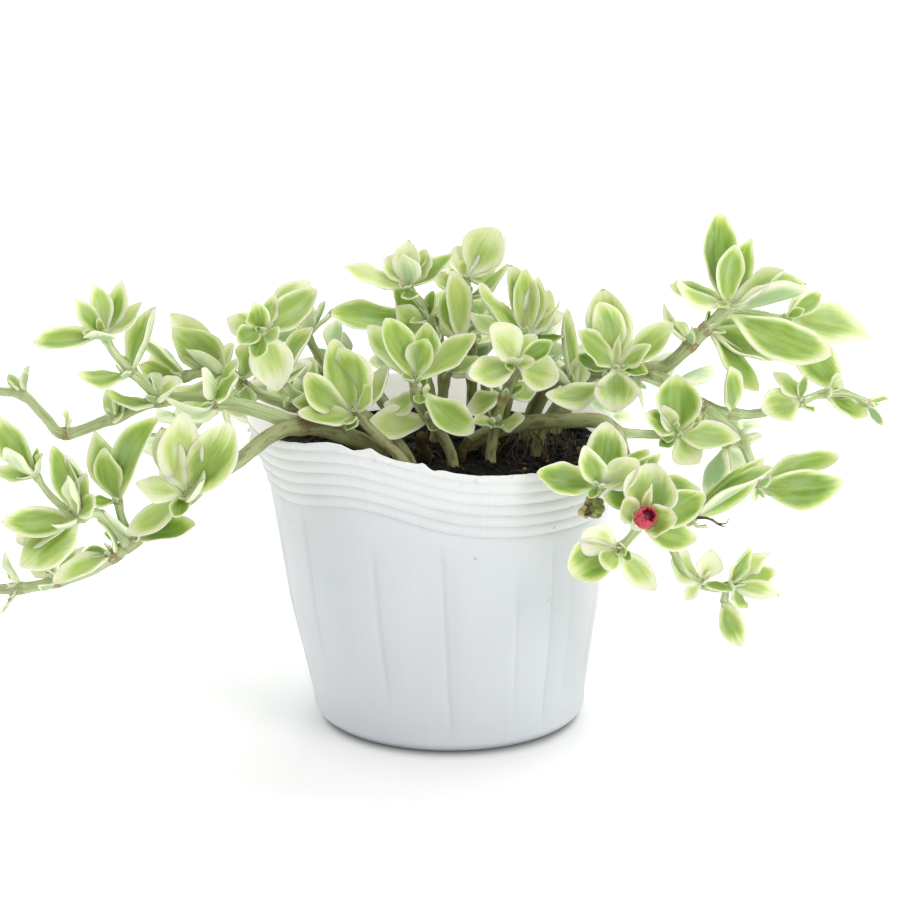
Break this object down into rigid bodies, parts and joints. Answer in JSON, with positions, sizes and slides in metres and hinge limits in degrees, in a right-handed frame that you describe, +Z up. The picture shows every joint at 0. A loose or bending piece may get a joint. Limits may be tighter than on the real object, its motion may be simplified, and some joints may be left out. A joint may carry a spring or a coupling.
{
  "type": "potted baby sun rose",
  "caption": "Trailing succulent with cream-edged leaves and a red bud, rooted in soil in a thin white nursery pot that stands on its flat base.",
  "frame": {"origin": "the middle of the pot's base, on the surface that it stands on", "axes": "+X to the viewer's right along the plant's greatest spread, +Y away from the viewer, +Z up"},
  "size_m": [0.31, 0.1715, 0.166],
  "materials": {
    "pot": "thin soft white plastic, satin, slightly see-through",
    "soil": "moist dark potting soil",
    "petal": "crimson petals, satin",
    "leaf": "fleshy green leaf with a cream edge, finely beaded"
  },
  "bodies": {
    "root": {"pot": "pot", "soil": "soil", "flower_bud": "petal", "shoot_left_trailing": "leaf", "shoot_left_middle": "leaf", "shoot_left_near": "leaf", "shoot_front_left": "leaf", "shoot_centre": "leaf", "shoot_back_left": "leaf", "shoot_back_top": "leaf", "shoot_inner_right": "leaf", "shoot_front_right": "leaf", "shoot_right_near": "leaf", "shoot_right_top": "leaf", "shoot_right_front": "leaf", "shoot_behind_left": "leaf", "shoot_behind_far_left": "leaf", "shoot_behind_middle": "leaf", "shoot_behind_right": "leaf", "shoot_behind_far_right": "leaf", "shoot_behind_upright": "leaf", "shoot_behind_upright_left": "leaf"}
  },
  "joints": []
}
